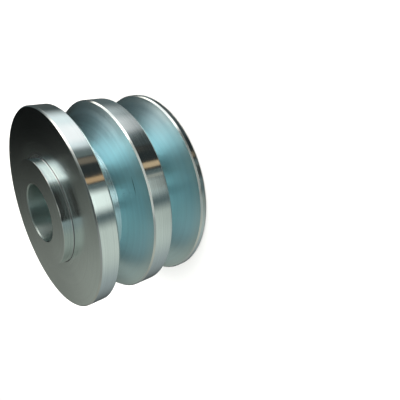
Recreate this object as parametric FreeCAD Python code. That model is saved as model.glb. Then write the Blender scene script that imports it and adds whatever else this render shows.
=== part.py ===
import FreeCAD, Part
import math
import os

# Double V-belt pulley for an alternator shaft, turned from one piece of steel.
# It stands on its recessed end face. The bore's axis is +Z, and the boss is on top.
# Lengths are in millimetres and angles in degrees.

# Overall
outer_diameter = 78.5

# Outer profile, from the recessed end face upwards. The widths of rims and grooves
# are measured between the sharp corners, as they are before the edges are broken.
end_rim_width = 2.6
groove_width = 14.2
groove_depth = 14.8
groove_half_angle = 17.0
middle_rim_width = 8.0
hub_rim_width = 7.2

# Hub: the boss that stands out of the upper end face, and the shaft bore
boss_diameter = 41.2
boss_height = 3.7
bore_diameter = 22.2

# Recess for the shaft nut and its socket. Its wall closes in slightly towards the floor.
recess_mouth_diameter = 43.9
recess_floor_diameter = 43.0
recess_depth = 24.2

# Broken edges, by how far each cut goes back along both sides of its corner
groove_edge_break = 0.5
face_edge_break = 0.5
boss_edge_break = 0.3
recess_mouth_break = 0.9
bore_top_break = 0.4
bore_bottom_break = 0.7

# Rounds that the tool leaves in the inside corners of the boss and the recess
boss_root_round = 0.2
recess_floor_round = 0.8


def corner(radius, height, form="sharp", size=0.0):
    """One corner of the half section: sharp, broken by a chamfer, or rounded by an arc."""
    return {"point": FreeCAD.Vector(radius, 0, height), "form": form, "size": size}


def set_back(entry, before, after):
    """Where the two sides that meet in a corner stop, and the middle of the arc between them."""
    point = entry["point"]
    to_before = (before - point).normalize()
    to_after = (after - point).normalize()
    if entry["form"] == "chamfer":
        return point + to_before * entry["size"], point + to_after * entry["size"], None
    half_angle = to_before.getAngle(to_after) / 2
    reach = entry["size"] / math.tan(half_angle)
    to_centre = (to_before + to_after).normalize()
    to_arc = entry["size"] / math.sin(half_angle) - entry["size"]
    return point + to_before * reach, point + to_after * reach, point + to_centre * to_arc


def half_section(corners):
    """Closed face through the corners, in the plane of the axis."""
    edges = []
    ends = []
    for index, entry in enumerate(corners):
        before = corners[index - 1]["point"]
        after = corners[(index + 1) % len(corners)]["point"]
        if entry["form"] == "sharp":
            ends.append((entry["point"], entry["point"], None))
        else:
            ends.append(set_back(entry, before, after))
    for index, (arrive, leave, on_arc) in enumerate(ends):
        if on_arc:
            edges.append(Part.Arc(arrive, on_arc, leave).toShape())
        elif arrive != leave:
            edges.append(Part.LineSegment(arrive, leave).toShape())
        next_arrive = ends[(index + 1) % len(ends)][0]
        edges.append(Part.LineSegment(leave, next_arrive).toShape())
    return Part.Face(Part.Wire(edges))


def groove_corners(bottom):
    """The four corners of one V groove with a flat root, from its lower edge upwards."""
    rim = outer_diameter / 2
    root = rim - groove_depth
    flank_run = groove_depth * math.tan(math.radians(groove_half_angle))
    top = bottom + groove_width
    return [
        corner(rim, bottom, "chamfer", groove_edge_break),
        corner(root, bottom + flank_run),
        corner(root, top - flank_run),
        corner(rim, top, "chamfer", groove_edge_break),
    ]


def pulley():
    """The whole pulley: its half section turned once round the bore's axis."""
    rim = outer_diameter / 2
    bore = bore_diameter / 2
    lower_groove = end_rim_width
    upper_groove = lower_groove + groove_width + middle_rim_width
    hub_face = upper_groove + groove_width + hub_rim_width
    boss_face = hub_face + boss_height

    recess = [
        corner(bore, recess_depth, "chamfer", bore_bottom_break),
        corner(recess_floor_diameter / 2, recess_depth, "round", recess_floor_round),
        corner(recess_mouth_diameter / 2, 0, "chamfer", recess_mouth_break),
    ]
    rims_and_grooves = [
        corner(rim, 0, "chamfer", face_edge_break),
        *groove_corners(lower_groove),
        *groove_corners(upper_groove),
        corner(rim, hub_face, "chamfer", face_edge_break),
    ]
    boss = [
        corner(boss_diameter / 2, hub_face, "round", boss_root_round),
        corner(boss_diameter / 2, boss_face, "chamfer", boss_edge_break),
        corner(bore, boss_face, "chamfer", bore_top_break),
    ]
    section = half_section(recess + rims_and_grooves + boss)
    return section.revolve(FreeCAD.Vector(0, 0, 0), FreeCAD.Vector(0, 0, 1), 360)


def main():
    os.makedirs("parts", exist_ok=True)
    solid = pulley()
    solid.exportStep("parts/pulley.step")
    box = solid.BoundBox
    print("pulley", solid.ShapeType, "valid", solid.isValid(), "volume", round(solid.Volume, 1))
    print("box", [round(value, 3) for value in (box.XMin, box.YMin, box.ZMin, box.XMax, box.YMax, box.ZMax)])


main()
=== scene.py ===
import math

import bpy
from mathutils import Matrix, Vector


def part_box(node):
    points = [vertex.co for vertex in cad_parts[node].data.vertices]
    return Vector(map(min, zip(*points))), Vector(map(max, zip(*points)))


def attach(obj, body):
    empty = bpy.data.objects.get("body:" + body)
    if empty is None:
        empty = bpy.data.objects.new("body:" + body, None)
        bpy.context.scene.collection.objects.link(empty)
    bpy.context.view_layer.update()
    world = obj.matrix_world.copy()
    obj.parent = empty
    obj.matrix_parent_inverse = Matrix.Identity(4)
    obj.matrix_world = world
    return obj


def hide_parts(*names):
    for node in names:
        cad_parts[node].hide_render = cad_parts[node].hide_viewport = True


bl_info = {
    "name": "Double V-belt pulley",
    "version": (1, 0, 0),
    "blender": (4, 5, 0),
    "location": "3D View > Sidebar > Pulley",
    "description": "Turns a zinc plated double V-belt pulley and sets up its studio",
    "category": "Add Mesh",
}

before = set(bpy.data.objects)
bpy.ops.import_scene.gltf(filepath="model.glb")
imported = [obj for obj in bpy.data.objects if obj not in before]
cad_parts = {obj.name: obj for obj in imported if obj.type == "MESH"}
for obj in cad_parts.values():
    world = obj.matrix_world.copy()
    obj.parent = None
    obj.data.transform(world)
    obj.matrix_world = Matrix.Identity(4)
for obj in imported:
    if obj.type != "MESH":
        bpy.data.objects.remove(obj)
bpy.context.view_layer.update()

MM = 0.001
BODY = "root"
NODE = "pulley"
PIECE = "turned_pulley"

node_low, node_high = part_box(NODE)


class PulleySizes(bpy.types.PropertyGroup):
    """Sizes of the turned half section. Rims and grooves are measured between sharp corners."""

    outer_diameter: bpy.props.FloatProperty(
        name="Outer diameter", description="Across the rims",
        default=2 * node_high.x, unit="LENGTH")
    height: bpy.props.FloatProperty(
        name="Height", description="From the end face to the boss face",
        default=node_high.z, unit="LENGTH")
    end_rim_width: bpy.props.FloatProperty(
        name="End rim", description="Rim beside the recessed end face",
        default=2.6 * MM, unit="LENGTH")
    groove_width: bpy.props.FloatProperty(
        name="Groove width", description="Width of one groove at the rim",
        default=14.2 * MM, unit="LENGTH")
    groove_depth: bpy.props.FloatProperty(
        name="Groove depth", description="From the rim to the flat root",
        default=14.8 * MM, unit="LENGTH")
    groove_half_angle: bpy.props.FloatProperty(
        name="Groove half angle", description="Between one flank and the groove's middle plane",
        default=math.radians(17), unit="ROTATION")
    middle_rim_width: bpy.props.FloatProperty(
        name="Middle rim", description="Rim between the grooves",
        default=8.0 * MM, unit="LENGTH")
    boss_diameter: bpy.props.FloatProperty(
        name="Boss diameter", description="Across the raised boss",
        default=41.2 * MM, unit="LENGTH")
    boss_height: bpy.props.FloatProperty(
        name="Boss height", description="Boss face above the hub face",
        default=3.7 * MM, unit="LENGTH")
    bore_diameter: bpy.props.FloatProperty(
        name="Bore", description="Shaft bore",
        default=22.2 * MM, unit="LENGTH")
    recess_mouth_diameter: bpy.props.FloatProperty(
        name="Recess mouth", description="Across the recess at the end face",
        default=43.9 * MM, unit="LENGTH")
    recess_floor_diameter: bpy.props.FloatProperty(
        name="Recess floor", description="Across the recess at its floor",
        default=43.0 * MM, unit="LENGTH")
    recess_depth: bpy.props.FloatProperty(
        name="Recess depth", description="From the end face to the nut seat",
        default=24.2 * MM, unit="LENGTH")
    groove_edge_break: bpy.props.FloatProperty(
        name="Groove edge break", description="Cut along both sides of a groove's edge",
        default=0.5 * MM, unit="LENGTH")
    face_edge_break: bpy.props.FloatProperty(
        name="Face edge break", description="Cut along both sides of an end face's outer edge",
        default=0.5 * MM, unit="LENGTH")
    recess_mouth_break: bpy.props.FloatProperty(
        name="Recess mouth break", description="Cut along both sides of the recess's edge",
        default=0.9 * MM, unit="LENGTH")
    bore_top_break: bpy.props.FloatProperty(
        name="Bore break at the boss", description="Cut along both sides of the bore's upper edge",
        default=0.4 * MM, unit="LENGTH")
    bore_bottom_break: bpy.props.FloatProperty(
        name="Bore break at the nut seat", description="Cut along both sides of the bore's lower edge",
        default=0.7 * MM, unit="LENGTH")
    boss_root_round: bpy.props.FloatProperty(
        name="Boss root round", description="Radius in the corner under the boss",
        default=0.3 * MM, unit="LENGTH")
    recess_floor_round: bpy.props.FloatProperty(
        name="Recess floor round", description="Radius in the corner of the recess",
        default=0.8 * MM, unit="LENGTH")
    plated_edge: bpy.props.FloatProperty(
        name="Plated edge", description="Radius that the plating leaves on a sharp edge",
        default=0.08 * MM, unit="LENGTH")
    turns: bpy.props.IntProperty(
        name="Steps round", description="Flat steps in one full turn",
        default=600, min=64)


def hex_to_linear(text):
    """Scene-linear red, green and blue of an sRGB colour written as six hex digits."""
    shares = [int(text[place:place + 2], 16) / 255 for place in (0, 2, 4)]
    return [share / 12.92 if share <= 0.04045 else ((share + 0.055) / 1.055) ** 2.4 for share in shares]


class PulleyFinish(bpy.types.PropertyGroup):
    """Colours and tool marks of the zinc plated steel.

    The real marks lie 0.1 to 0.2 mm apart. That is too fine to show, so they are drawn coarser.
    """

    turned_zinc: bpy.props.FloatVectorProperty(
        name="Turned zinc", description="Plated rims and end faces",
        default=hex_to_linear("DFF2F0"), subtype="COLOR", size=3)
    groove_zinc: bpy.props.FloatVectorProperty(
        name="Groove zinc", description="Plated groove, where the blue passivation is thickest",
        default=hex_to_linear("DAFAFF"), subtype="COLOR", size=3)
    broken_edge: bpy.props.FloatVectorProperty(
        name="Broken edge", description="Plated chamfers, burnished bright by the tool",
        default=hex_to_linear("E4F0EC"), subtype="COLOR", size=3)
    boss_zinc: bpy.props.FloatVectorProperty(
        name="Boss zinc", description="Plated boss wall, dulled by handling",
        default=hex_to_linear("D8E2E0"), subtype="COLOR", size=3)
    bore_steel: bpy.props.FloatVectorProperty(
        name="Bore steel", description="Reamed bore, where the plating is thinnest",
        default=hex_to_linear("B8CCC8"), subtype="COLOR", size=3)
    rim_mark_pitch: bpy.props.FloatProperty(
        name="Rim tool marks", description="Spacing of the tool marks on the rims",
        default=0.35 * MM, unit="LENGTH")
    flank_mark_pitch: bpy.props.FloatProperty(
        name="Flank tool marks", description="Spacing of the tool marks in the grooves",
        default=0.8 * MM, unit="LENGTH")


class PulleyStudio(bpy.types.PropertyGroup):
    """Floor and light."""

    floor_colour: bpy.props.FloatVectorProperty(
        name="Floor", description="Plain pale floor",
        default=hex_to_linear("F4F4F2"), subtype="COLOR", size=3)
    key_power: bpy.props.FloatProperty(
        name="Key light", description="Power of the soft light over the floor",
        default=22.0, unit="POWER")


def add_node(tree, kind, inputs=None, **settings):
    """Adds a node with its settings. An input, by name or number, is linked to a socket or given a value."""
    node = tree.nodes.new(kind)
    for name, value in settings.items():
        setattr(node, name, value)
    for key, value in (inputs or {}).items():
        socket = next(entry for place, entry in enumerate(node.inputs)
                      if entry.enabled and key in (place, entry.name))
        if isinstance(value, bpy.types.NodeSocket):
            tree.links.new(value, socket)
        else:
            socket.default_value = value
    return node


FINISHES = ("rim", "boss", "groove", "root", "hub", "face", "bore", "recess", "edge", "corner")


def corner(radius, height, after, form="edge", size=0.0, cut="edge"):
    """One corner of the half section, with the finish of the side that follows it and of its chamfer."""
    return {"point": Vector((radius, height)), "after": after, "form": form, "size": size, "cut": cut}


def groove_corners(sizes, bottom):
    """The corners of one V groove, from its lower edge upwards."""
    rim = sizes.outer_diameter / 2
    root = rim - sizes.groove_depth
    run = sizes.groove_depth * math.tan(sizes.groove_half_angle)
    top = bottom + sizes.groove_width
    return [
        corner(rim, bottom, "groove", "chamfer", sizes.groove_edge_break),
        corner(root, bottom + run, "root"),
        corner(root, top - run, "groove"),
        corner(rim, top, "rim", "chamfer", sizes.groove_edge_break),
    ]


def half_section_corners(sizes):
    """Corners of the half section, anticlockwise from the nut seat."""
    rim = sizes.outer_diameter / 2
    bore = sizes.bore_diameter / 2
    recess_mouth = sizes.recess_mouth_diameter / 2
    recess_floor = sizes.recess_floor_diameter / 2
    lower_groove = sizes.end_rim_width
    upper_groove = lower_groove + sizes.groove_width + sizes.middle_rim_width
    hub_face = sizes.height - sizes.boss_height
    return [
        corner(bore, sizes.recess_depth, "recess", "chamfer", sizes.bore_bottom_break),
        corner(recess_floor, sizes.recess_depth, "recess", "round", sizes.recess_floor_round),
        corner(recess_mouth, 0, "face", "chamfer", sizes.recess_mouth_break),
        corner(rim, 0, "rim", "chamfer", sizes.face_edge_break),
        *groove_corners(sizes, lower_groove),
        *groove_corners(sizes, upper_groove),
        corner(rim, hub_face, "hub", "chamfer", sizes.face_edge_break),
        corner(sizes.boss_diameter / 2, hub_face, "boss", "round", sizes.boss_root_round),
        corner(sizes.boss_diameter / 2, sizes.height, "face"),
        corner(bore, sizes.height, "bore", "chamfer", sizes.bore_top_break, cut="bore"),
    ]


def ways_out(corners, index):
    """Unit vectors from a corner towards the one before it and the one after it."""
    point = corners[index]["point"]
    before = corners[index - 1]["point"]
    after = corners[(index + 1) % len(corners)]["point"]
    return (before - point).normalized(), (after - point).normalized()


def broken(corners):
    """The same corners with each chamfer written out as two corners."""
    found = []
    for index, entry in enumerate(corners):
        if entry["form"] != "chamfer":
            found.append(entry)
            continue
        to_before, to_after = ways_out(corners, index)
        start = entry["point"] + to_before * entry["size"]
        end = entry["point"] + to_after * entry["size"]
        found.append(corner(start.x, start.y, entry["cut"]))
        found.append(corner(end.x, end.y, entry["after"]))
    return found


EDGE_STEPS = 2
ROUND_STEPS = 5


def half_section_points(sizes):
    """Points of the half section, each with the number of the finish that follows it.

    Each corner becomes an arc between two holding points, which keep the shading of the long sides flat.
    """
    corners = broken(half_section_corners(sizes))
    points = []
    for index, entry in enumerate(corners):
        is_round = entry["form"] == "round"
        size = entry["size"] if is_round else sizes.plated_edge
        steps = ROUND_STEPS if is_round else EDGE_STEPS
        to_before, to_after = ways_out(corners, index)
        half_angle = to_before.angle(to_after) / 2
        reach = size / math.tan(half_angle)
        centre = entry["point"] + (to_before + to_after).normalized() * size / math.sin(half_angle)
        first = entry["point"] + to_before * reach
        last = entry["point"] + to_after * reach
        before_finish = corners[index - 1]["after"]
        # The first half of a round inside corner gets the painted shade.
        first_half_finish = "corner" if is_round else before_finish
        points.append((first + to_before * sizes.plated_edge, before_finish))
        for step in range(steps + 1):
            share = step / steps
            toward = (first - centre).lerp(last - centre, share).normalized()
            points.append((centre + toward * size, first_half_finish if share < 0.5 else entry["after"]))
        points.append((last + to_after * sizes.plated_edge, entry["after"]))
    return [(point, FINISHES.index(finish)) for point, finish in points]


def half_section_object(sizes):
    """The half section as a closed loop of edges, with its finish on each point."""
    points = half_section_points(sizes)
    mesh = bpy.data.meshes.new("half_section")
    loop = [(index, (index + 1) % len(points)) for index in range(len(points))]
    mesh.from_pydata([(point.x, point.y, 0) for point, finish in points], loop, [])
    layers = (
        ("from_axis", "FLOAT", [point.x for point, finish in points]),
        ("height", "FLOAT", [point.y for point, finish in points]),
        ("finish", "INT", [finish for point, finish in points]),
    )
    for name, kind, values in layers:
        mesh.attributes.new(name, kind, "POINT").data.foreach_set("value", values)
    section = bpy.data.objects.new("half_section", mesh)
    bpy.context.scene.collection.objects.link(section)
    return section


def turning_tree():
    """Geometry Nodes that turn a half section once round the Z axis and give each side its finish."""
    tree = bpy.data.node_groups.new("turn half section", "GeometryNodeTree")
    sockets = tree.interface
    sockets.new_socket("Geometry", in_out="OUTPUT", socket_type="NodeSocketGeometry")
    sockets.new_socket("Half section", in_out="INPUT", socket_type="NodeSocketGeometry")
    sockets.new_socket("Steps round", in_out="INPUT", socket_type="NodeSocketInt")
    for finish in FINISHES:
        sockets.new_socket(finish, in_out="INPUT", socket_type="NodeSocketMaterial")
    given = add_node(tree, "NodeGroupInput").outputs
    steps = given["Steps round"]

    index = add_node(tree, "GeometryNodeInputIndex").outputs["Index"]
    ring = add_node(tree, "GeometryNodeCurvePrimitiveCircle", {"Resolution": steps}).outputs["Curve"]
    numbered = {"Geometry": ring, "Name": "step", "Value": index}
    ring = add_node(tree, "GeometryNodeStoreNamedAttribute", numbered,
                    data_type="INT", domain="POINT").outputs["Geometry"]
    section = add_node(tree, "GeometryNodeMeshToCurve", {"Mesh": given["Half section"]}).outputs["Curve"]
    swept = {"Curve": ring, "Profile Curve": section}
    skin = add_node(tree, "GeometryNodeCurveToMesh", swept).outputs["Mesh"]

    stored = {}
    for name, kind in (("from_axis", "FLOAT"), ("height", "FLOAT"), ("finish", "INT"), ("step", "INT")):
        stored[name] = add_node(tree, "GeometryNodeInputNamedAttribute", {"Name": name},
                                data_type=kind).outputs["Attribute"]
    radius = stored["from_axis"]
    share = add_node(tree, "ShaderNodeMath", {0: stored["step"], 1: steps}, operation="DIVIDE").outputs[0]
    angle = add_node(tree, "ShaderNodeMath", {0: share, 1: math.tau}, operation="MULTIPLY").outputs[0]
    cosine = add_node(tree, "ShaderNodeMath", {0: angle}, operation="COSINE").outputs[0]
    sine = add_node(tree, "ShaderNodeMath", {0: angle}, operation="SINE").outputs[0]
    x = add_node(tree, "ShaderNodeMath", {0: radius, 1: cosine}, operation="MULTIPLY").outputs[0]
    y = add_node(tree, "ShaderNodeMath", {0: radius, 1: sine}, operation="MULTIPLY").outputs[0]
    place = add_node(tree, "ShaderNodeCombineXYZ", {"X": x, "Y": y, "Z": stored["height"]}).outputs[0]
    placed = {"Geometry": skin, "Position": place}
    skin = add_node(tree, "GeometryNodeSetPosition", placed).outputs["Geometry"]

    first_point = add_node(tree, "GeometryNodeFieldAtIndex", {"Value": stored["finish"], "Index": index},
                           data_type="INT", domain="POINT").outputs["Value"]
    sided = {"Geometry": skin, "Name": "side", "Value": first_point}
    skin = add_node(tree, "GeometryNodeStoreNamedAttribute", sided,
                    data_type="INT", domain="FACE").outputs["Geometry"]
    side = add_node(tree, "GeometryNodeInputNamedAttribute", {"Name": "side"},
                    data_type="INT").outputs["Attribute"]
    smooth = {"Geometry": skin, "Shade Smooth": True}
    skin = add_node(tree, "GeometryNodeSetShadeSmooth", smooth).outputs["Geometry"]
    skin = add_node(tree, "GeometryNodeRealizeInstances", {"Geometry": skin}).outputs["Geometry"]
    for number, finish in enumerate(FINISHES):
        chosen = add_node(tree, "FunctionNodeCompare", {"A": side, "B": number},
                          data_type="INT", operation="EQUAL").outputs["Result"]
        finished = {"Geometry": skin, "Selection": chosen, "Material": given[finish]}
        skin = add_node(tree, "GeometryNodeSetMaterial", finished).outputs["Geometry"]
    add_node(tree, "NodeGroupOutput", {"Geometry": skin})
    return tree


def lathe_coordinates(tree):
    """Object coordinates taken apart, and the distance from the axis, inside a material."""
    place = add_node(tree, "ShaderNodeTexCoord").outputs["Object"]
    apart = add_node(tree, "ShaderNodeSeparateXYZ", {0: place}).outputs
    flat = add_node(tree, "ShaderNodeCombineXYZ", {"X": apart["X"], "Y": apart["Y"]}).outputs[0]
    radius = add_node(tree, "ShaderNodeVectorMath", {0: flat}, operation="LENGTH").outputs["Value"]
    return apart, radius


def tool_marks(tree, pitch, drift):
    """Noise in rings round the axis. It changes over one pitch across the marks and slowly along them."""
    apart, radius = lathe_coordinates(tree)
    across = add_node(tree, "ShaderNodeMath", {0: radius, 1: apart["Z"]}, operation="ADD").outputs[0]
    scaled = {}
    for axis, value, length in (("X", apart["X"], drift), ("Y", apart["Y"], drift), ("Z", across, pitch)):
        scaled[axis] = add_node(tree, "ShaderNodeMath", {0: value, 1: 1 / length},
                                operation="MULTIPLY").outputs[0]
    lines = add_node(tree, "ShaderNodeCombineXYZ", scaled).outputs[0]
    noise = {"Vector": lines, "Scale": 1.0, "Detail": 2.0}
    return add_node(tree, "ShaderNodeTexNoise", noise).outputs["Fac"]


def smudges(tree, size):
    """Cloudy patches of the given size."""
    place = add_node(tree, "ShaderNodeTexCoord").outputs["Object"]
    noise = {"Vector": place, "Scale": 1 / size, "Detail": 3.0}
    return add_node(tree, "ShaderNodeTexNoise", noise).outputs["Fac"]


# Sizes of the clouds in the plating's tone and of the slow waves that cutting leaves in the surface
CLOUD_SIZE = 9 * MM
WAVE_SIZE = 4 * MM
# Parts of the ring noise over which the tone and the roughness change
TONE_RANGE = (0.35, 0.65)
ROUGHNESS_RANGE = (0.3, 0.7)
# A quarter turn of the tangent lays the wide blur across the rings
ACROSS_THE_RINGS = 0.25


def plated_steel(name, colour, roughness, spread, marks, relief, stretch, shade=0.86):
    """Turned steel under bright zinc with a clear blue passivation.

    It mirrors sharply along the tool's rings and is drawn out across them, with a faint cloudiness.
    Spread is how much the rings change the roughness, marks are the pitch and drift of the rings,
    relief is the depth of the rings and of the waves, and shade is the tone of the darkest spots.
    """
    material = bpy.data.materials.new(name)
    material.use_nodes = True
    tree = material.node_tree
    shader = tree.nodes["Principled BSDF"]
    shader.inputs["Metallic"].default_value = 1.0
    shader.inputs["Anisotropic"].default_value = stretch
    shader.inputs["Anisotropic Rotation"].default_value = ACROSS_THE_RINGS

    rings = tool_marks(tree, *marks)
    clouds = smudges(tree, CLOUD_SIZE)
    lines = add_node(tree, "ShaderNodeMapRange", {"Value": rings, "From Min": TONE_RANGE[0],
                                                  "From Max": TONE_RANGE[1]}).outputs["Result"]
    tone = add_node(tree, "ShaderNodeMath", {0: clouds, 1: lines}, operation="ADD").outputs[0]
    tone = add_node(tree, "ShaderNodeMath", {0: tone, 1: 0.5}, operation="MULTIPLY").outputs[0]
    darker = [share * shade for share in colour]
    tint = add_node(tree, "ShaderNodeMix", {"Factor": tone, "A": (*darker, 1), "B": (*colour, 1)},
                    data_type="RGBA", label="tint").outputs["Result"]
    tree.links.new(tint, shader.inputs["Base Color"])

    satin = add_node(tree, "ShaderNodeMapRange", {
        "Value": rings,
        "From Min": ROUGHNESS_RANGE[0],
        "From Max": ROUGHNESS_RANGE[1],
        "To Min": roughness * (1 - spread),
        "To Max": roughness * (1 + spread),
    }, label="satin")
    tangent = add_node(tree, "ShaderNodeTangent", direction_type="RADIAL", axis="Z")
    tree.links.new(satin.outputs["Result"], shader.inputs["Roughness"])
    tree.links.new(tangent.outputs["Tangent"], shader.inputs["Tangent"])

    if relief:
        ring_depth, wave_depth = relief
        heights = ((smudges(tree, WAVE_SIZE), wave_depth), (rings, ring_depth))
        normal = None
        for height, depth in heights:
            bumped = {"Height": height, "Strength": 1.0, "Distance": depth}
            if normal:
                bumped["Normal"] = normal
            normal = add_node(tree, "ShaderNodeBump", bumped).outputs["Normal"]
        tree.links.new(normal, shader.inputs["Normal"])
    return material


def paler_outwards(material, outer_colour, from_radius, to_radius):
    """Lets the passivation fade towards the rim, where belts and handling thin it."""
    tree = material.node_tree
    tint = next(node for node in tree.nodes if node.label == "tint").outputs["Result"]
    apart, radius = lathe_coordinates(tree)
    share = add_node(tree, "ShaderNodeMapRange", {"Value": radius, "From Min": from_radius,
                                                  "From Max": to_radius}).outputs["Result"]
    faded = add_node(tree, "ShaderNodeMix", {"Factor": share, "A": tint, "B": (*outer_colour, 1)},
                     data_type="RGBA", label="faded tint").outputs["Result"]
    tree.links.new(faded, tree.nodes["Principled BSDF"].inputs["Base Color"])


def duller_inwards(material, times, from_radius, to_radius):
    """Lets the facing marks get coarser towards the middle, so that what they mirror fades."""
    tree = material.node_tree
    satin = next(node for node in tree.nodes if node.label == "satin").outputs["Result"]
    apart, radius = lathe_coordinates(tree)
    more = add_node(tree, "ShaderNodeMapRange", {"Value": radius, "From Min": from_radius,
                                                 "From Max": to_radius, "To Min": 1.0,
                                                 "To Max": times}).outputs["Result"]
    dulled = add_node(tree, "ShaderNodeMath", {0: satin, 1: more}, operation="MULTIPLY").outputs[0]
    tree.links.new(dulled, tree.nodes["Principled BSDF"].inputs["Roughness"])


# The scratch on the lower flank of the upper groove: where it starts and ends round the axis,
# its distance from the axis there, and the heights between which the flank lies
SCRATCH_ANGLES = (math.radians(-78), math.radians(-97))
SCRATCH_RADII = (33.5 * MM, 32.9 * MM)
SCRATCH_HEIGHTS = (25.5 * MM, 28.0 * MM)
SCRATCH_WIDTH = 0.22 * MM
SCRATCH_COLOUR = "30383A"
SCRATCH_STRENGTH = 0.95
# Where along the scratch it is deepest, and how far from there it starts and stops to fade
SCRATCH_MIDDLE = 0.56
SCRATCH_TAPER = (0.1, 0.36)


def scratched(material):
    """A thin dark scratch along the flank, where something hard has cut through the plating."""
    tree = material.node_tree
    shader = tree.nodes["Principled BSDF"]
    apart, radius = lathe_coordinates(tree)
    angle = add_node(tree, "ShaderNodeMath", {0: apart["Y"], 1: apart["X"]}, operation="ARCTAN2").outputs[0]
    along = add_node(tree, "ShaderNodeMapRange", {"Value": angle, "From Min": SCRATCH_ANGLES[0],
                                                  "From Max": SCRATCH_ANGLES[1]}).outputs["Result"]
    line = add_node(tree, "ShaderNodeMapRange", {"Value": along, "To Min": SCRATCH_RADII[0],
                                                 "To Max": SCRATCH_RADII[1]}).outputs["Result"]
    # The mask fades away from the line of the scratch, and along it away from its middle.
    fades = (
        (radius, line, 0.0, SCRATCH_WIDTH, SCRATCH_STRENGTH),
        (along, SCRATCH_MIDDLE, SCRATCH_TAPER[0], SCRATCH_TAPER[1], 1.0),
    )
    shares = []
    for value, middle, near, far, strength in fades:
        offset = add_node(tree, "ShaderNodeMath", {0: value, 1: middle}, operation="SUBTRACT").outputs[0]
        distance = add_node(tree, "ShaderNodeMath", {0: offset}, operation="ABSOLUTE").outputs[0]
        shares.append(add_node(tree, "ShaderNodeMapRange", {"Value": distance, "From Min": near,
                                                            "From Max": far, "To Min": strength,
                                                            "To Max": 0.0}).outputs["Result"])
    for limit, test in zip(SCRATCH_HEIGHTS, ("GREATER_THAN", "LESS_THAN")):
        shares.append(add_node(tree, "ShaderNodeMath", {0: apart["Z"], 1: limit}, operation=test).outputs[0])
    mask = shares[0]
    for share in shares[1:]:
        mask = add_node(tree, "ShaderNodeMath", {0: mask, 1: share}, operation="MULTIPLY").outputs[0]
    plain = shader.inputs["Base Color"].links[0].from_socket
    bare = (*hex_to_linear(SCRATCH_COLOUR), 1)
    marked = add_node(tree, "ShaderNodeMix", {"Factor": mask, "A": plain, "B": bare},
                      data_type="RGBA", label="scratch").outputs["Result"]
    tree.links.new(marked, shader.inputs["Base Color"])


# Colour and roughness of the painted shade in the inside corners
CORNER_SHADE_COLOUR = "26292A"
CORNER_SHADE_ROUGHNESS = 0.6


def painted_corner_shade(name):
    """Painted shade: a dull dark colour that stands in for the shade in an inside corner."""
    material = bpy.data.materials.new(name)
    material.use_nodes = True
    shader = material.node_tree.nodes["Principled BSDF"]
    shader.inputs["Base Color"].default_value = (*hex_to_linear(CORNER_SHADE_COLOUR), 1)
    shader.inputs["Roughness"].default_value = CORNER_SHADE_ROUGHNESS
    return material


# How far the rings run before they change, and the short marks that handling leaves, as pitch and drift
FINE_DRIFT = 150 * MM
COARSE_DRIFT = 120 * MM
HANDLING_MARKS = (0.5 * MM, 12 * MM)

# Relief of the kinds of cut, as the depth of the rings and of the waves
FACED = (0.001 * MM, 0.004 * MM)
TURNED = (0.002 * MM, 0.008 * MM)
HANDLED = (0.0028 * MM, 0.007 * MM)
GROOVED = (0.03 * MM, 0.004 * MM)
BORED = (0.006 * MM, 0.024 * MM)
SMOOTH = None

# Distances from the axis between which the blue of a flank fades, and the hub face gets duller
PASSIVATION_FADES = (35 * MM, 41 * MM)
HUB_DULLS = (29 * MM, 21 * MM)
HUB_DULLER_TIMES = 1.5


def finishes(finish):
    """One material for each kind of cut on the pulley."""
    zinc = finish.turned_zinc
    blue = finish.groove_zinc
    fine = (finish.rim_mark_pitch, FINE_DRIFT)
    coarse = (finish.flank_mark_pitch, COARSE_DRIFT)
    made = {
        # Finely turned rims mirror the studio in clear bands, with hair lines along them.
        "rim": plated_steel("zinc_plated_turned_rim", zinc, 0.12, 0.2, fine, TURNED, 0.6, 0.84),
        # Handling has dulled the boss wall, so short streaks break up what it mirrors.
        "boss": plated_steel("zinc_plated_boss_wall", finish.boss_zinc, 0.09, 0.3,
                             HANDLING_MARKS, HANDLED, 0.6, 0.8),
        # The coarse feed in the grooves scatters the light across the rings: a blue satin with fine arcs.
        "groove": plated_steel("zinc_plated_turned_groove", blue, 0.34, 0.12, coarse, GROOVED, 0.75, 0.88),
        # The root is as blue and satin as the flanks, and smooth.
        "root": plated_steel("zinc_plated_groove_root", blue, 0.3, 0.2, fine, SMOOTH, 0.7),
        # The hub face is a dull mirror, which shows the boss as a soft band beside it.
        "hub": plated_steel("zinc_plated_faced_hub", zinc, 0.17, 0.2, fine, FACED, 0.6, 0.8),
        # The end face and the boss face have an even grey sheen.
        "face": plated_steel("zinc_plated_faced_end", zinc, 0.17, 0.2, fine, FACED, 0.6, 0.8),
        # The reamed bore has little zinc on it and a soft sheen along its length.
        "bore": plated_steel("zinc_plated_reamed_bore", finish.bore_steel, 0.38, 0.1, fine, SMOOTH, 0.85),
        # The bored recess keeps more of the tool's rings, and is blue where the passivation stayed.
        "recess": plated_steel("zinc_plated_bored_recess", blue, 0.2, 0.3, coarse, BORED, 0.5, 0.74),
        # Chamfers are burnished by the tool and draw bright lines round the edges.
        "edge": plated_steel("zinc_plated_broken_edge", finish.broken_edge, 0.16, 0.2, fine, FACED, 0.5),
        # Painted shade: a thin dull dark line in an inside corner.
        "corner": painted_corner_shade("painted_shade_in_inside_corner"),
    }
    paler_outwards(made["groove"], zinc, *PASSIVATION_FADES)
    scratched(made["groove"])
    duller_inwards(made["hub"], HUB_DULLER_TIMES, *HUB_DULLS)
    return made


def as_plain_mesh(made):
    """Replaces the object's modifier by the mesh that it gives."""
    graph = bpy.context.evaluated_depsgraph_get()
    mesh = bpy.data.meshes.new_from_object(made.evaluated_get(graph))
    made.modifiers.clear()
    made.data = mesh


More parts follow.
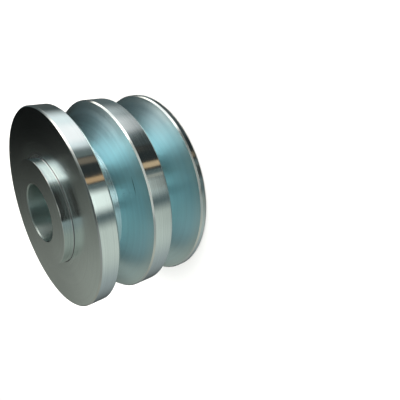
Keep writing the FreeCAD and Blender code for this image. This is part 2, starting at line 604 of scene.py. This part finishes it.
class PULLEY_OT_turn(bpy.types.Operator):
    """Turn the pulley from its half section and give it its finishes"""

    bl_idname = "pulley.turn"
    bl_label = "Turn the pulley"

    def execute(self, context):
        sizes = context.scene.pulley_sizes
        turned = half_section_object(sizes)
        turned.name = PIECE
        modifier = turned.modifiers.new("turning", "NODES")
        modifier.node_group = turning_tree()
        given = {"Steps round": sizes.turns, **finishes(context.scene.pulley_finish)}
        for socket in modifier.node_group.interface.items_tree:
            if socket.in_out == "INPUT" and socket.name in given:
                modifier[socket.identifier] = given[socket.name]
        as_plain_mesh(turned)
        turned.data.name = PIECE
        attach(turned, BODY)
        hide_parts(NODE)
        return {"FINISHED"}


# What the metal mirrors: a workshop with a large softbox at the pulley's right and a strip light
# behind the camera. Each panel is a window in the sky: from and to azimuth, then from and to
# elevation, in degrees, each with the width of its blur, then its sRGB colour and its strength.
# Azimuth is 0 behind the pulley, 90 at its right and 180 at the camera. A window that crosses 180
# is counted on past it. A later panel covers the ones before it.
PANELS = (
    ("floor side", (10, 20), (58, 10), (-80, 10), (-28, 10), "DCEEF2", 0.22),
    ("paper", (60, 20), (130, 30), (-90, 4), (-48, 8), "F4F6F8", 0.7),
    ("ceiling", (-30, 30), (30, 20), (54, 14), (88, 4), "F0F6F8", 0.34),
    ("upper gap", (112, 20), (230, 20), (33, 8), (55, 10), "FFFCF8", 0.7),
    ("upper wall", (222, 20), (300, 60), (28, 10), (61, 14), "F6F6F4", 0.34),
    ("side wall", (209, 10), (250, 30), (-8, 8), (34, 14), "F0F6F8", 0.42),
    ("side wall foot", (202, 8), (240, 30), (-14, 6), (10, 8), "F0F6F8", 0.75),
    ("wall", (-128, 36), (-40, 60), (0, 16), (30, 10), "F9F6EC", 0.54),
    ("warm wall", (-75, 50), (40, 20), (0, 14), (60, 20), "F0EDE2", 0.35),
    ("warm wall light", (-40, 30), (-7, 8), (19, 4), (40, 20), "F0EDE2", 0.42),
    ("warm wall shade", (-34, 16), (-9, 8), (-10, 10), (17, 4), "F0EDE2", 0.2),
    ("corner", (16, 20), (56, 12), (-12, 14), (46, 14), "DCEEF2", 0.11),
    ("dark corner", (-2.5, 30), (26, 10), (0, 10), (36, 12), "F4F6F8", 0.005),
    ("softbox glow", (30, 14), (72, 20), (46, 14), (74, 12), "FFFCF8", 0.5),
    ("softbox", (64, 26), (124, 12), (-29, 14), (51, 8), "FEFCFF", 1.06),
    ("softbox shoulder", (66, 12), (90, 20), (28, 12), (51, 8), "FFF4EE", 1.8),
    ("softbox side", (56, 10), (84, 10), (0, 6), (12, 6), "FFF4EE", 2.2),
    ("softbox core", (88, 16), (114, 10), (-30, 12), (10, 20), "FFF2F4", 1.3),
    ("softbox top", (76, 16), (118, 10), (27, 14), (46, 10), "FFECE6", 3.9),
    ("gap under the softbox", (57, 8), (114, 8), (-13, 6), (-1, 6), "E6F0F4", 0.15),
    ("softbox wing", (114, 8), (134, 10), (-12, 6), (14, 8), "FFF6F0", 1.6),
    ("under the softbox end", (103, 14), (118, 10), (-48, 6), (-35, 4), "E6F0F4", 0.09),
    ("under the softbox", (113, 16), (150, 10), (-47, 6), (-30, 6), "E6F0F4", 0.07),
    ("shelf", (124, 12), (142, 4), (-28, 8), (-12, 8), "E8F4F4", 0.19),
    ("doorway", (133, 3), (208, 8), (-70, 10), (-14, 8), "E8F0F4", 0.035),
    ("upper doorway", (144, 16), (208, 10), (-14, 8), (31, 6), "FFDCD8", 0.02),
    ("shelf top", (133, 12), (155, 12), (-12, 6), (2, 8), "E8F0F4", 0.6),
    ("shelf top end", (155, 12), (172, 8), (-12, 6), (0, 6), "E8F0F4", 0.32),
    ("door frame", (164.5, 2), (172, 4), (-70, 10), (4, 8), "DCEEF2", 0.16),
    ("bench end", (-120, 40), (-50, 60), (-70, 20), (6, 20), "F4F6F8", 0.4),
    ("bench gap", (188, 8), (214, 10), (-70, 20), (-13, 8), "DCEEF2", 0.17),
    ("bench", (-150, 16), (-94, 50), (-37, 20), (-6, 16), "FAF8F0", 0.67),
    ("strip light", (173.2, 10), (194.4, 14), (-31, 14), (0, 12), "FFFDF8", 1.14),
    ("strip light top", (172.5, 8), (197, 8), (-15, 8), (0, 6), "FFFDF8", 2.2),
    ("bench edge", (157.6, 1.5), (163.0, 1.5), (-29, 4), (-10, 8), "E6B68C", 0.75),
    ("bench edge back", (169.5, 2), (173.5, 2), (-38, 3), (-29, 4), "FFF6EA", 0.38),
    ("bench edge foot", (154.8, 1.5), (161.2, 1.5), (-38, 3), (-29, 4), "ECC4A0", 0.85),
    ("shelf edge", (134.5, 3), (141.5, 3), (-29, 8), (-10, 8), "FFE0C8", 0.22),
)
SURROUNDINGS = ("E8F2F2", 0.1)
BACKDROP_COLOUR = "F4F4F2"


def glow(tone, strength):
    """Scene-linear colour of a light, with its strength in it."""
    return (*(share * strength for share in hex_to_linear(tone)), 1)


def panel_window(tree, azimuth, elevation, start, end, low, high):
    """How far a direction lies inside a panel: 1 in its middle, 0 outside, smooth over its blurred edges."""
    middle = (start[0] + end[0]) / 2
    turned = add_node(tree, "ShaderNodeMath", {0: azimuth, 1: middle}, operation="SUBTRACT").outputs[0]
    turned = add_node(tree, "ShaderNodeMath", {0: turned, 1: 180.0, 2: -180.0}, operation="WRAP").outputs[0]
    edges = (
        (turned, start[0] - middle, start[1] / 2),
        (turned, end[0] - middle, -end[1] / 2),
        (elevation, low[0], low[1] / 2),
        (elevation, high[0], -high[1] / 2),
    )
    window = None
    for value, limit, half_blur in edges:
        edge = add_node(tree, "ShaderNodeMapRange", {"Value": value, "From Min": limit - half_blur,
                                                     "From Max": limit + half_blur},
                        interpolation_type="SMOOTHSTEP").outputs["Result"]
        if window:
            edge = add_node(tree, "ShaderNodeMath", {0: window, 1: edge}, operation="MULTIPLY").outputs[0]
        window = edge
    return window


def studio_world(scene):
    """The panels round the pulley, as the metal mirrors them, and a plain backdrop for the camera."""
    world = bpy.data.worlds.new("studio")
    world.use_nodes = True
    tree = world.node_tree
    tree.nodes.clear()
    direction = add_node(tree, "ShaderNodeTexCoord").outputs["Generated"]
    apart = add_node(tree, "ShaderNodeSeparateXYZ", {0: direction}).outputs
    azimuth = add_node(tree, "ShaderNodeMath", {0: apart["X"], 1: apart["Y"]}, operation="ARCTAN2").outputs[0]
    azimuth = add_node(tree, "ShaderNodeMath", {0: azimuth}, operation="DEGREES").outputs[0]
    elevation = add_node(tree, "ShaderNodeMath", {0: apart["Z"]}, operation="ARCSINE").outputs[0]
    elevation = add_node(tree, "ShaderNodeMath", {0: elevation}, operation="DEGREES").outputs[0]

    colour = add_node(tree, "ShaderNodeRGB").outputs[0]
    colour.default_value = glow(*SURROUNDINGS)
    for name, start, end, low, high, tone, strength in PANELS:
        window = panel_window(tree, azimuth, elevation, start, end, low, high)
        colour = add_node(tree, "ShaderNodeMix", {"Factor": window, "A": colour, "B": glow(tone, strength)},
                          data_type="RGBA", label=name).outputs["Result"]
    seen = add_node(tree, "ShaderNodeLightPath").outputs["Is Camera Ray"]
    colour = add_node(tree, "ShaderNodeMix", {"Factor": seen, "A": colour, "B": glow(BACKDROP_COLOUR, 1.0)},
                      data_type="RGBA").outputs["Result"]
    shine = add_node(tree, "ShaderNodeBackground", {"Color": colour, "Strength": 1.0}).outputs[0]
    add_node(tree, "ShaderNodeOutputWorld", {"Surface": shine})
    scene.world = world


FLOOR_HALF_WIDTH = 1.5
FLOOR_ROUGHNESS = 0.9


def floor(studio):
    """A plain pale floor of matt painted board, flush with the pulley's lower end. It shows no gloss."""
    half = FLOOR_HALF_WIDTH
    mesh = bpy.data.meshes.new("floor")
    corners = [(-half, -half, 0), (half, -half, 0), (half, half, 0), (-half, half, 0)]
    mesh.from_pydata(corners, [], [(0, 1, 2, 3)])
    made = bpy.data.objects.new("floor", mesh)
    bpy.context.scene.collection.objects.link(made)
    material = bpy.data.materials.new("matt_painted_board")
    material.use_nodes = True
    shader = material.node_tree.nodes["Principled BSDF"]
    shader.inputs["Base Color"].default_value = (*studio.floor_colour, 1)
    shader.inputs["Roughness"].default_value = FLOOR_ROUGHNESS
    shader.inputs["Specular IOR Level"].default_value = 0.0
    mesh.materials.append(material)
    made.visible_glossy = False


LIGHT_WIDTH = 1.6
LIGHT_PLACE = (0.1, -0.1, 0.9)


def soft_light(studio):
    """One wide soft light over the floor. The metal mirrors the panels instead of it."""
    light = bpy.data.lights.new("overhead", "AREA")
    light.shape = "SQUARE"
    light.size = LIGHT_WIDTH
    light.energy = studio.key_power
    made = bpy.data.objects.new("overhead", light)
    made.location = LIGHT_PLACE
    made.visible_glossy = False
    bpy.context.scene.collection.objects.link(made)


# The camera as fitted to the pulley's outlines in the photograph. The lens and the sensor are in mm.
CAMERA_PLACE = Vector((0.612, -155.140, 97.273)) * MM
CAMERA_HEADING = math.radians(7.689)
CAMERA_LOOK_DOWN = math.radians(38.898)
CAMERA_ROLL = math.radians(-109.703)
SENSOR = 36.0
LENS = 35.607
SHIFT = (-0.0151, 0.0253)
NEAREST = 1 * MM


def camera(scene):
    """The camera at the photograph's angle, rolled so that the pulley lies on its side in the picture."""
    data = bpy.data.cameras.new("camera")
    data.sensor_width = SENSOR
    data.lens = LENS
    data.shift_x, data.shift_y = SHIFT
    data.clip_start = NEAREST
    made = bpy.data.objects.new("camera", data)
    heading = Matrix.Rotation(CAMERA_HEADING, 4, "Z")
    tilt = Matrix.Rotation(math.pi / 2 - CAMERA_LOOK_DOWN, 4, "X")
    roll = Matrix.Rotation(CAMERA_ROLL, 4, "Z")
    made.matrix_world = Matrix.Translation(CAMERA_PLACE) @ heading @ tilt @ roll
    scene.collection.objects.link(made)
    scene.camera = made


class PULLEY_OT_stage(bpy.types.Operator):
    """Set the floor, the soft light, the panels and the camera"""

    bl_idname = "pulley.stage"
    bl_label = "Set the stage"

    def execute(self, context):
        scene = context.scene
        scene.view_settings.view_transform = "Standard"
        studio_world(scene)
        floor(scene.pulley_studio)
        soft_light(scene.pulley_studio)
        camera(scene)
        return {"FINISHED"}


class VIEW3D_PT_pulley(bpy.types.Panel):
    """The steps that make the pulley, in order"""

    bl_label = "Double V-belt pulley"
    bl_idname = "VIEW3D_PT_pulley"
    bl_space_type = "VIEW_3D"
    bl_region_type = "UI"
    bl_category = "Pulley"

    def draw(self, context):
        for step in STEPS:
            self.layout.operator(step.bl_idname)


STEPS = (PULLEY_OT_turn, PULLEY_OT_stage)
GROUPS = (("pulley_sizes", PulleySizes), ("pulley_finish", PulleyFinish), ("pulley_studio", PulleyStudio))
CLASSES = (*(group for name, group in GROUPS), *STEPS, VIEW3D_PT_pulley)


def register():
    for entry in CLASSES:
        bpy.utils.register_class(entry)
    for name, group in GROUPS:
        setattr(bpy.types.Scene, name, bpy.props.PointerProperty(type=group))


def unregister():
    for name, group in GROUPS:
        delattr(bpy.types.Scene, name)
    for entry in reversed(CLASSES):
        bpy.utils.unregister_class(entry)


def main():
    """Registers the add-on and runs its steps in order."""
    register()
    bpy.ops.pulley.turn()
    bpy.ops.pulley.stage()


if __name__ == "__main__":
    main()
